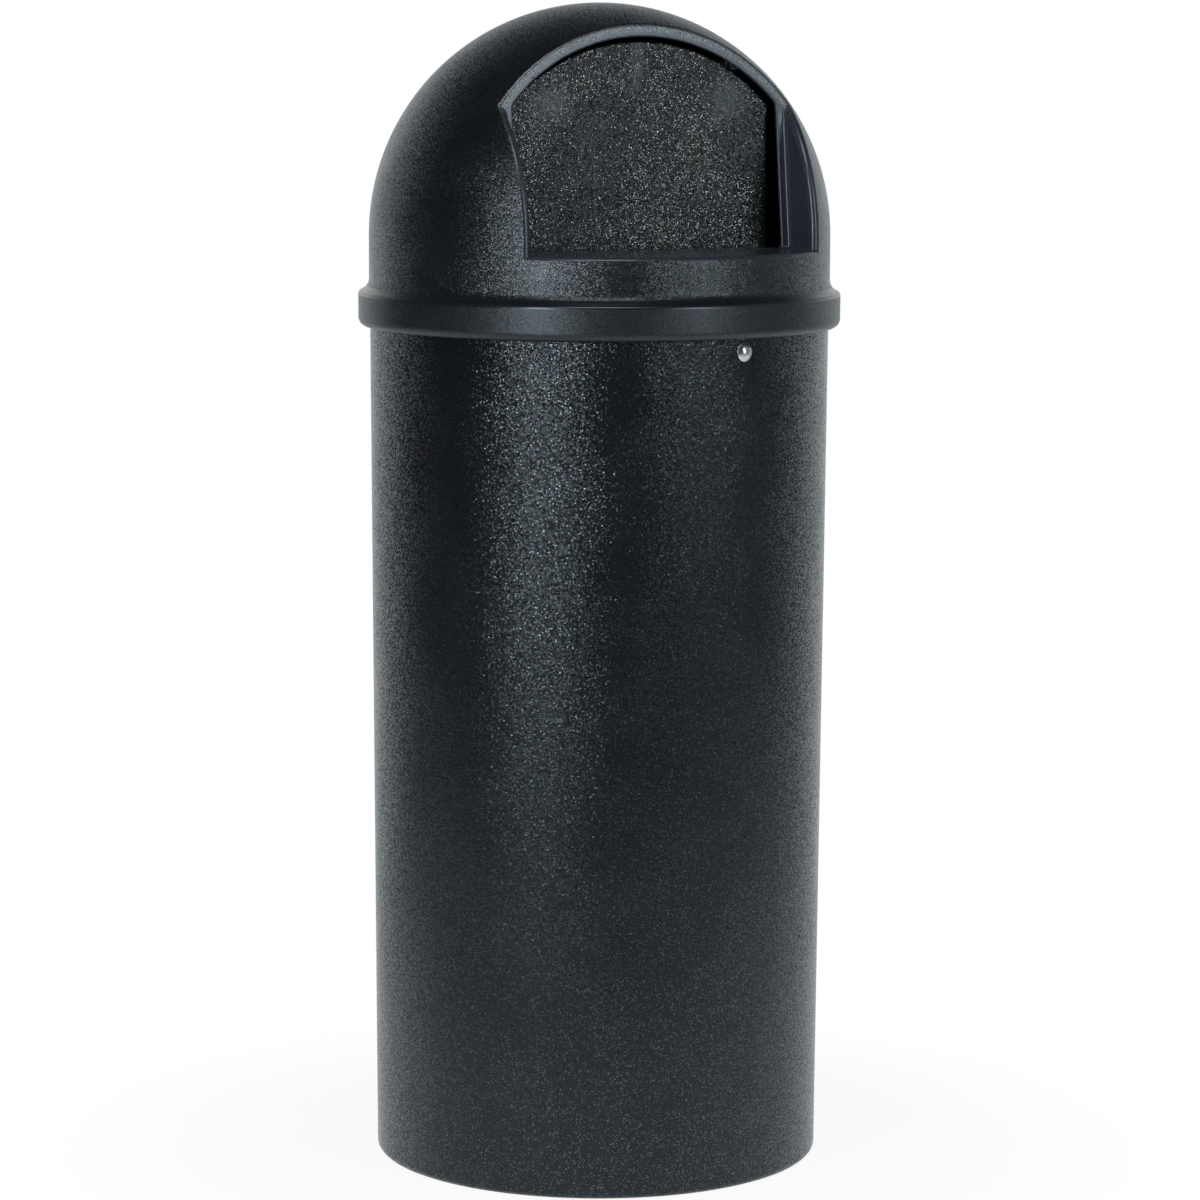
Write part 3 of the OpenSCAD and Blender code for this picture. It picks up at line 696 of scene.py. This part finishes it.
makeHinge(hingeSet)
for side, name in bothSides:
    makeSpring(hingeSet, side, name)
    makeBumper(bumperSet, side, name)
print("hinge made")

standFor(fieldPiece("dome", domeField, domeSet), "dome", "dome_plastic", "dome_shell")
standFor(fieldPiece("door", doorField, doorSet), "door", "door_plastic", "door_panel")


# the Principled shader ends every finish; its names are given with underscores
def shaderEnd(t, **values):
    shader = t.node("ShaderNodeBsdfPrincipled", {}, {k.replace("_", " "): v for k, v in values.items()})
    t.close(shader)


plasticSet = {
    "body": {
        "black": (0.0042, 0.0049, 0.0065, 1), "worn": (0.0054, 0.0062, 0.0080, 1), "cell": 1.8, "deep": 0.05,
        "rough": 0.25, "glint": (0.108, 0.130, 0.143, 1), "few": 0.63, "patchy": 0.20, "speck": 0.92,
        "facet": 0.45, "upright": 0.18, "wave": 60.0, "tint": 0.15, "index": 1.42,
    },
    "dome": {
        "black": (0.0030, 0.0035, 0.0048, 1), "worn": (0.0048, 0.0054, 0.0068, 1), "cell": 1.4, "deep": 0.04,
        "rough": 0.31, "glint": (0.105, 0.123, 0.136, 1), "few": 0.50, "patchy": 0.20, "speck": 0.64,
        "facet": 0.40, "upright": 0.25, "wave": 45.0, "tint": 0.2, "index": 1.62,
    },
    "door": {
        "black": (0.0022, 0.0029, 0.0038, 1), "worn": (0.0048, 0.0058, 0.0068, 1), "cell": 1.6, "deep": 0.05,
        "rough": 0.26, "glint": (0.28, 0.31, 0.31, 1), "few": 0.57, "patchy": 0.55, "speck": 0.75,
        "facet": 0.52, "upright": 1.0, "wave": 30.0, "tint": 0.15, "index": 1.45,
    },
}
# what the three plastics share; noise sizes are in millimetres
grainSet = {
    "wander": 1.6, "drift": 0.4, "dent": 1.5, "luck": (5.3, 7.1, 3.7), "cloud": (0.32, 0.68), "most": 0.9,
    "doorCloud": (0.6, 0.2), "fleck": (0.35, 0.70), "cloudRough": 0.02, "tilt": (0.85, 0.3), "fine": 0.5,
    "fineDeep": 0.02, "shine": (0.0, 0.12), "sheen": (0.74, 0.91, 1.0, 1),
}
# the dome's smooth parts; depths under its skin are in millimetres, heights in metres. Their colour, lighter than
# the grained skin's, is painted light on the recess's walls, frame and roundings
smoothSet = {
    # rim: a painted highlight, the arch's rim band's lighter colour
    "colour": (0.022, 0.024, 0.034, 1), "rim": (0.070, 0.080, 0.088, 1), "rough": 0.26, "rimTilt": 0.5,
    "skin": (0.15, 0.5), "rimDepth": (4.7, 5.5), "rimZ": (0.836, 0.850), "shoulder": (0.6962, 0.7030),
}
# the ring's lighter colour is a painted sheen; its rougher finish and thinner grain are its own
ringSet = {"colour": (0.0066, 0.0078, 0.0108, 1), "rough": 0.40, "grain": 0.4}
# the door's rubbed places: smoother grain, and a lighter colour that is a painted reflection
scuffAndSheenSet = {
    "colour": (0.013, 0.015, 0.018, 1), "x": 0.077, "z": 0.849, "reach": (0.004, 0.028), "size": 9.0,
    "ragged": 0.02, "lineX": -0.003, "lineReach": (0.001, 0.009), "lineFoot": (0.850, 0.862),
    "lineRagged": 0.3, "lineLevel": 0.7, "glintLoss": 0.7, "tiltLoss": 0.6,
}
# painted light and shade: where the door's grain and tone are fuller and lighter or thinner and darker, standing in
# for the uneven reflections of its wavy face: x, z, reach and by how much
sheenAndShadeSet = (
    (-0.080, 0.830, 0.045, 0.9), (-0.052, 0.800, 0.060, -1.1), (-0.028, 0.838, 0.042, -0.8),
    (0.042, 0.815, 0.060, 0.7), (0.100, 0.820, 0.050, -1.4), (0.028, 0.748, 0.070, 0.7),
    (-0.070, 0.752, 0.045, -0.4), (-0.030, 0.872, 0.040, 0.4), (0.058, 0.862, 0.045, -0.7),
)


def grainedPart(t, where):
    # shares of the dome's grained skin, its arch's rim, all up to the shoulder's top, and the shoulder's crease;
    # the frame round the mouth is none of them, and smooth
    s = smoothSet
    x, y, z = (t.node("ShaderNodeSeparateXYZ", {}, [where], out=name) for name in "XYZ")
    up = (z - domeSet["centre"] * mm).atLeast(0)
    depth = domeSet["radius"] - (x * x + y * y + up * up) ** 0.5 / mm
    outer = 1 - depth.between(*s["skin"])
    above, below = z.calc("GREATER_THAN", z, s["shoulder"][0]), z.calc("LESS_THAN", z, s["shoulder"][1])
    skin = outer * (1 - above * below)
    rim = (1 - depth.between(*s["rimDepth"])) * z.between(*s["rimZ"]) * (1 - skin)
    ring = outer * below
    return skin, rim, ring, ring * above


def scuffAndSheenPart(t, where):
    # rubbed places near the door's upper corners and a streak down from its top: their grain is smoother, and their
    # lighter colour is a painted reflection
    s = scuffAndSheenSet
    x, z = (t.node("ShaderNodeSeparateXYZ", {}, [where], out=name) for name in "XZ")
    ragged = (t.noise(where, s["size"], 3.0) - 0.5) * s["ragged"]
    side = x.calc("ABSOLUTE", x) - s["x"]
    corner = 1 - ((side * side + (z - s["z"]) ** 2) ** 0.5 + ragged).between(*s["reach"])
    line = x - s["lineX"]
    line = 1 - (line.calc("ABSOLUTE", line) + ragged * s["lineRagged"]).between(*s["lineReach"])
    return (corner + line * z.between(*s["lineFoot"]) * s["lineLevel"]).atMost(1)


def sheenAndShadePart(t, where):
    # how much fuller or thinner the door's grain and tone are at a place: painted light and shade
    x, z = (t.node("ShaderNodeSeparateXYZ", {}, [where], out=name) for name in "XZ")
    total = 0.0
    for acrossAt, upAt, reach, gain in sheenAndShadeSet:
        away = ((x - acrossAt) ** 2 + (z - upAt) ** 2) ** 0.5
        total = (1 - away.between(0, reach)) * gain + total
    return total


def plastic(name, s, part=None):
    # black plastic with a moulded grain: every fleck of it faces its own way
    g, material = grainSet, bpy.data.materials.new(name)
    t = Tree(material)
    where = t.node("ShaderNodeTexCoord", out="Object")
    wander = t.node("ShaderNodeTexNoise", {}, {
        "Vector": where, "Scale": 1 / (s["cell"] * g["wander"] * mm), "Detail": 1.0}, out="Color")
    drift = t.node("ShaderNodeVectorMath", {"operation": "SCALE"}, {0: wander, "Scale": s["cell"] * g["drift"] * mm})
    moved = t.node("ShaderNodeVectorMath", {"operation": "ADD"}, {0: where, 1: drift})
    cell = t.node("ShaderNodeTexVoronoi", {}, {"Vector": moved, "Scale": 1 / (s["cell"] * mm)}, out="Distance")
    speck = t.node("ShaderNodeTexVoronoi", {}, {"Vector": where, "Scale": 1 / (s["speck"] * mm)}, out="Distance")
    own = speck.other("Color")  # each fleck's own random colour
    red, green, blue = (
        t.node("ShaderNodeSeparateColor", {}, [own], out=name) for name in ("Red", "Green", "Blue"))
    byRed, byGreen, byBlue = g["luck"]
    luck = red.calc("FRACT", red * byRed + green * byGreen + blue * byBlue)
    cloud = t.noise(where, s["wave"], 3.0).between(*g["cloud"])
    if part == "door":
        # painted light and shade at given places of the door
        cloud = cloud * g["doorCloud"][0] + g["doorCloud"][1] + sheenAndShadePart(t, where)
    pebble = 1 - cell * cell * g["dent"]
    least = (s["few"] + (0.5 - cloud) * s["patchy"]).atMost(g["most"])
    glint = luck.between(least, 1.0) * (1 - speck.between(*g["fleck"]))
    rough = s["rough"] + cloud * g["cloudRough"]
    reach = s["facet"] * (g["tilt"][0] + cloud * g["tilt"][1])
    base = t.mix(cloud, s["black"], s["worn"])
    if part == "dome":
        skin, rim, ring, crease = grainedPart(t, where)
        band = ring - crease
        lost = band * (1 - ringSet["grain"])
        grained = skin + rim - lost
        glint, pebble = glint * grained, pebble * grained
        rough = rough * (skin - band) + band * ringSet["rough"] + (1 - skin) * smoothSet["rough"]
        reach = reach * (skin + rim * smoothSet["rimTilt"] - lost)
        # the smooth parts' lighter colour is painted light on the recess; the ring's lighter colour is a painted
        # sheen
        base = t.mix(ring, t.mix(grained, smoothSet["colour"], base), ringSet["colour"])
        # painted highlight: the arch's rim band is made lighter
        base = t.mix(rim, base, smoothSet["rim"])
    if part == "door":
        scuffAndSheen = scuffAndSheenPart(t, where)
        glint, reach = glint * (1 - scuffAndSheen * scuffAndSheenSet["glintLoss"]), reach * (1 - scuffAndSheen * scuffAndSheenSet["tiltLoss"])
        # painted reflection: the rubbed places are made lighter
        base = t.mix(scuffAndSheen, base, scuffAndSheenSet["colour"])
    height = pebble * s["deep"] + t.noise(where, g["fine"], 2.0) * g["fineDeep"]
    flat = t.node("ShaderNodeNewGeometry", out="Normal")
    lean = t.node("ShaderNodeVectorMath", {"operation": "SUBTRACT"}, {0: own, 1: (0.5, 0.5, 0.5)})
    lean = t.node("ShaderNodeVectorMath", {"operation": "MULTIPLY"}, {0: lean, 1: (1, 1, s["upright"])})
    lean = t.node("ShaderNodeVectorMath", {"operation": "SCALE"}, {0: lean, "Scale": reach})
    facet = t.node("ShaderNodeVectorMath", {"operation": "ADD"}, {0: flat, 1: lean})
    facet = t.node("ShaderNodeVectorMath", {"operation": "NORMALIZE"}, {0: facet})
    bump = t.node("ShaderNodeBump", {}, {"Height": height, "Strength": 1.0, "Distance": mm, "Normal": facet})
    hue = t.mix(s["tint"], s["glint"], t.mix(0.5, s["glint"], cell.other("Color")))
    shaderEnd(t, Base_Color=t.mix(glint, base, hue), Metallic=glint.between(*g["shine"]),
              Roughness=rough, Normal=bump, IOR=s["index"], Specular_Tint=g["sheen"])
    return material


# metals, nylon and rubber; noise sizes are in millimetres, the bump's depth in metres
metalSet = {
    "cloud": (3.0, 4.0, 0.65), "edges": (0.4, 0.7), "wear": 0.14, "bump": 0.25, "deep": 0.00005, "metallic": 1.0,
}
softSet = {
    "cloud": (4.0, 3.0), "edges": (0.35, 0.7), "wear": 0.1, "bump": 0.3, "deep": 0.0001, "metallic": 0.0,
}
plainSet = {
    "zinc": {"colour": (0.62, 0.64, 0.66, 1), "dull": (0.40, 0.42, 0.45, 1), "rough": 0.22, "size": 0.35},
    "rod": {"colour": (0.30, 0.30, 0.31, 1), "dull": (0.18, 0.18, 0.18, 1), "rough": 0.34, "size": 0.35},
    "spring": {"colour": (0.16, 0.16, 0.165, 1), "dull": (0.09, 0.085, 0.08, 1), "rough": 0.38, "size": 0.35},
    "nylon": {"colour": (0.020, 0.020, 0.021, 1), "dull": (0.030, 0.030, 0.030, 1), "rough": 0.42, "size": 1.0},
    "rubber": {"colour": (0.010, 0.010, 0.010, 1), "dull": (0.024, 0.023, 0.022, 1), "rough": 0.62, "size": 0.8},
}


def plain(name, s, kind):
    # one colour, duller in clouds, with a fine bump
    material = bpy.data.materials.new(name)
    t = Tree(material)
    where = t.node("ShaderNodeTexCoord", out="Object")
    cloud = t.noise(where, *kind["cloud"]).between(*kind["edges"])
    bump = t.node("ShaderNodeBump", {}, {
        "Height": t.noise(where, s["size"], 3.0), "Strength": kind["bump"], "Distance": kind["deep"]})
    shaderEnd(t, Base_Color=t.mix(cloud, s["colour"], s["dull"]), Metallic=kind["metallic"],
              Roughness=s["rough"] + cloud * kind["wear"], Normal=bump)
    return material


def finish(piece, material):
    piece.data.materials.clear()
    piece.data.materials.append(material)


finishes = {
    "body_plastic": plastic("bodyPlastic", plasticSet["body"]),
    "dome_plastic": plastic("domePlastic", plasticSet["dome"], "dome"),
    "door_plastic": plastic("doorPlastic", plasticSet["door"], "door"),
    "bolt_steel": plain("zincPlate", plainSet["zinc"], metalSet),
    "plate_steel": plain("zincSheet", plainSet["zinc"], metalSet),
    "rod_steel": plain("drawnRod", plainSet["rod"], metalSet),
    "spring_steel": plain("springWire", plainSet["spring"], metalSet),
    "bush_nylon": plain("nylon", plainSet["nylon"], softSet),
    "band_rubber": plain("rubber", plainSet["rubber"], softSet),
}
for piece in list(scene.objects):
    if "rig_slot" in piece:
        finish(piece, finishes[piece["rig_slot"]])
for name in ("tether_plate", "tether_washer", "tether_nut", "dome_eye_plate", "dome_eye_screws"):
    finish(frame["nodes"][name], finishes["plate_steel"])
for name, slot in (("body_shell", "body_plastic"), ("dome_shell", "dome_plastic"), ("door_panel", "door_plastic")):
    finish(frame["nodes"][name], finishes[slot])  # hidden, but in their stand-ins' finish too
print("finishes made")


# floor, world and lamps
studioSet = {
    "floor": (0.86, 0.87, 0.88, 1), "floorHalf": 9, "floorDrop": 0.0004, "dark": 0.02, "fill": 0.35,
    "glows": (  # what the gloss sees round about: the white backdrop, and a pale side wall
        {"towards": (0.487, 0.873, 0.0), "edges": (82, 30), "level": 1.0, "top": (0.15, 0.65), "loss": 0.9},
        {"towards": (0.836, -0.549, 0.0), "edges": (60, 25), "level": 0.23, "top": (0.5, 0.9), "loss": 0.8},
    ),
    "front": (-0.427, -0.904, 0.0), "floorReach": (1.25, 1.8), "floorFall": 3, "floorMiddle": (0.2, -0.09, 0.0),
    "shadow": 0.08, "shadowReach": (0.24, 0.50), "aim": 0.6,
    "lamps": (
        {"name": "left", "azimuth": -53, "distance": 2.0, "height": 0.95, "size": (0.35, 1.8), "power": 20},
        {"name": "right", "azimuth": 21, "distance": 2.1, "height": 1.12, "size": (0.5, 1.5), "power": 10},
        {"name": "top", "azimuth": -25, "distance": 1.3, "height": 2.5, "size": (1.0, 0.6), "power": 10},
    ),
}


def rays(t):
    names = ("Is Camera Ray", "Is Glossy Ray", "Is Transmission Ray")
    return [t.node("ShaderNodeLightPath", out=name) for name in names]


def glowLevel(t, aim, s):  # how bright the surroundings are towards a direction
    level = t.node("ShaderNodeVectorMath", {"operation": "NORMALIZE"}, {0: aim})
    height = t.node("ShaderNodeSeparateXYZ", {}, [level], out="Z")
    total = s["dark"]
    for g in s["glows"]:
        towards = {0: level, 1: g["towards"]}
        towards = t.node("ShaderNodeVectorMath", {"operation": "DOT_PRODUCT"}, towards, out="Value")
        share = towards.between(*[math.cos(math.radians(edge)) for edge in g["edges"]])
        total = (share * (1 - height.between(*g["top"]) * g["loss"]) * g["level"]).atLeast(total)
    return total


def makeStudio(s):
    mesh, half = bpy.data.meshes.new("floor"), s["floorHalf"]
    corners = [(-half, -half, 0), (half, -half, 0), (half, half, 0), (-half, half, 0)]
    mesh.from_pydata(corners, [], [(0, 1, 2, 3)])
    floor = bpy.data.objects.new("floor", mesh)
    floor.location.z = -s["floorDrop"]
    scene.collection.objects.link(floor)
    material = bpy.data.materials.new("paleFloor")
    t = Tree(material)
    camera, glossy, through = rays(t)
    spot = t.node("ShaderNodeNewGeometry", out="Position")
    away = t.node("ShaderNodeVectorMath", {"operation": "LENGTH"}, {0: spot}, out="Value")
    lit = t.node("ShaderNodeVectorMath", {"operation": "DISTANCE"}, {0: spot, 1: s["floorMiddle"]}, out="Value")
    level = t.node("ShaderNodeVectorMath", {"operation": "NORMALIZE"}, {0: spot})
    ahead = {0: level, 1: s["front"]}
    ahead = t.node("ShaderNodeVectorMath", {"operation": "DOT_PRODUCT"}, ahead, out="Value").atLeast(0)
    short, long = s["floorReach"]
    far = (lit / (long + (short - long) * ahead)) ** s["floorFall"]
    near = s["dark"] + (1 - s["dark"]) / (1 + far)
    shine = t.node("ShaderNodeEmission", {}, {
        "Color": (1, 1, 1, 1), "Strength": camera.atLeast(near.atLeast(glowLevel(t, spot, s)))})
    matte = t.node("ShaderNodeBsdfDiffuse", {}, {"Color": s["floor"]})
    clear = away.between(*s["shadowReach"])
    share = (camera * (1 - s["shadow"] * (1 - clear)) + glossy + through).atMost(1)
    t.close(t.node("ShaderNodeMixShader", {}, [share, matte, shine]))
    mesh.materials.append(material)

    world = bpy.data.worlds.new("studio")
    scene.world = world
    t = Tree(world)
    camera, glossy, through = rays(t)
    mirrored = glowLevel(t, t.node("ShaderNodeTexCoord", out="Generated"), s)
    seen = glossy.atLeast(through)
    level = camera + (1 - camera) * (seen * mirrored + (1 - seen) * s["fill"])
    t.close(t.node("ShaderNodeBackground", {}, {"Color": (1, 1, 1, 1), "Strength": level}), "ShaderNodeOutputWorld")

    for lamp in s["lamps"]:
        data = bpy.data.lights.new("lamp." + lamp["name"], "AREA")
        data.shape, (data.size, data.size_y) = "RECTANGLE", lamp["size"]
        data.energy = lamp["power"]
        holder = bpy.data.objects.new(data.name, data)
        a = math.radians(lamp["azimuth"])
        holder.location = (math.sin(a) * lamp["distance"], -math.cos(a) * lamp["distance"], lamp["height"])
        aim = Vector((0, 0, s["aim"])) - holder.location
        holder.rotation_euler = aim.to_track_quat("-Z", "Y").to_euler()
        scene.collection.objects.link(holder)


makeStudio(studioSet)
print("studio lit")
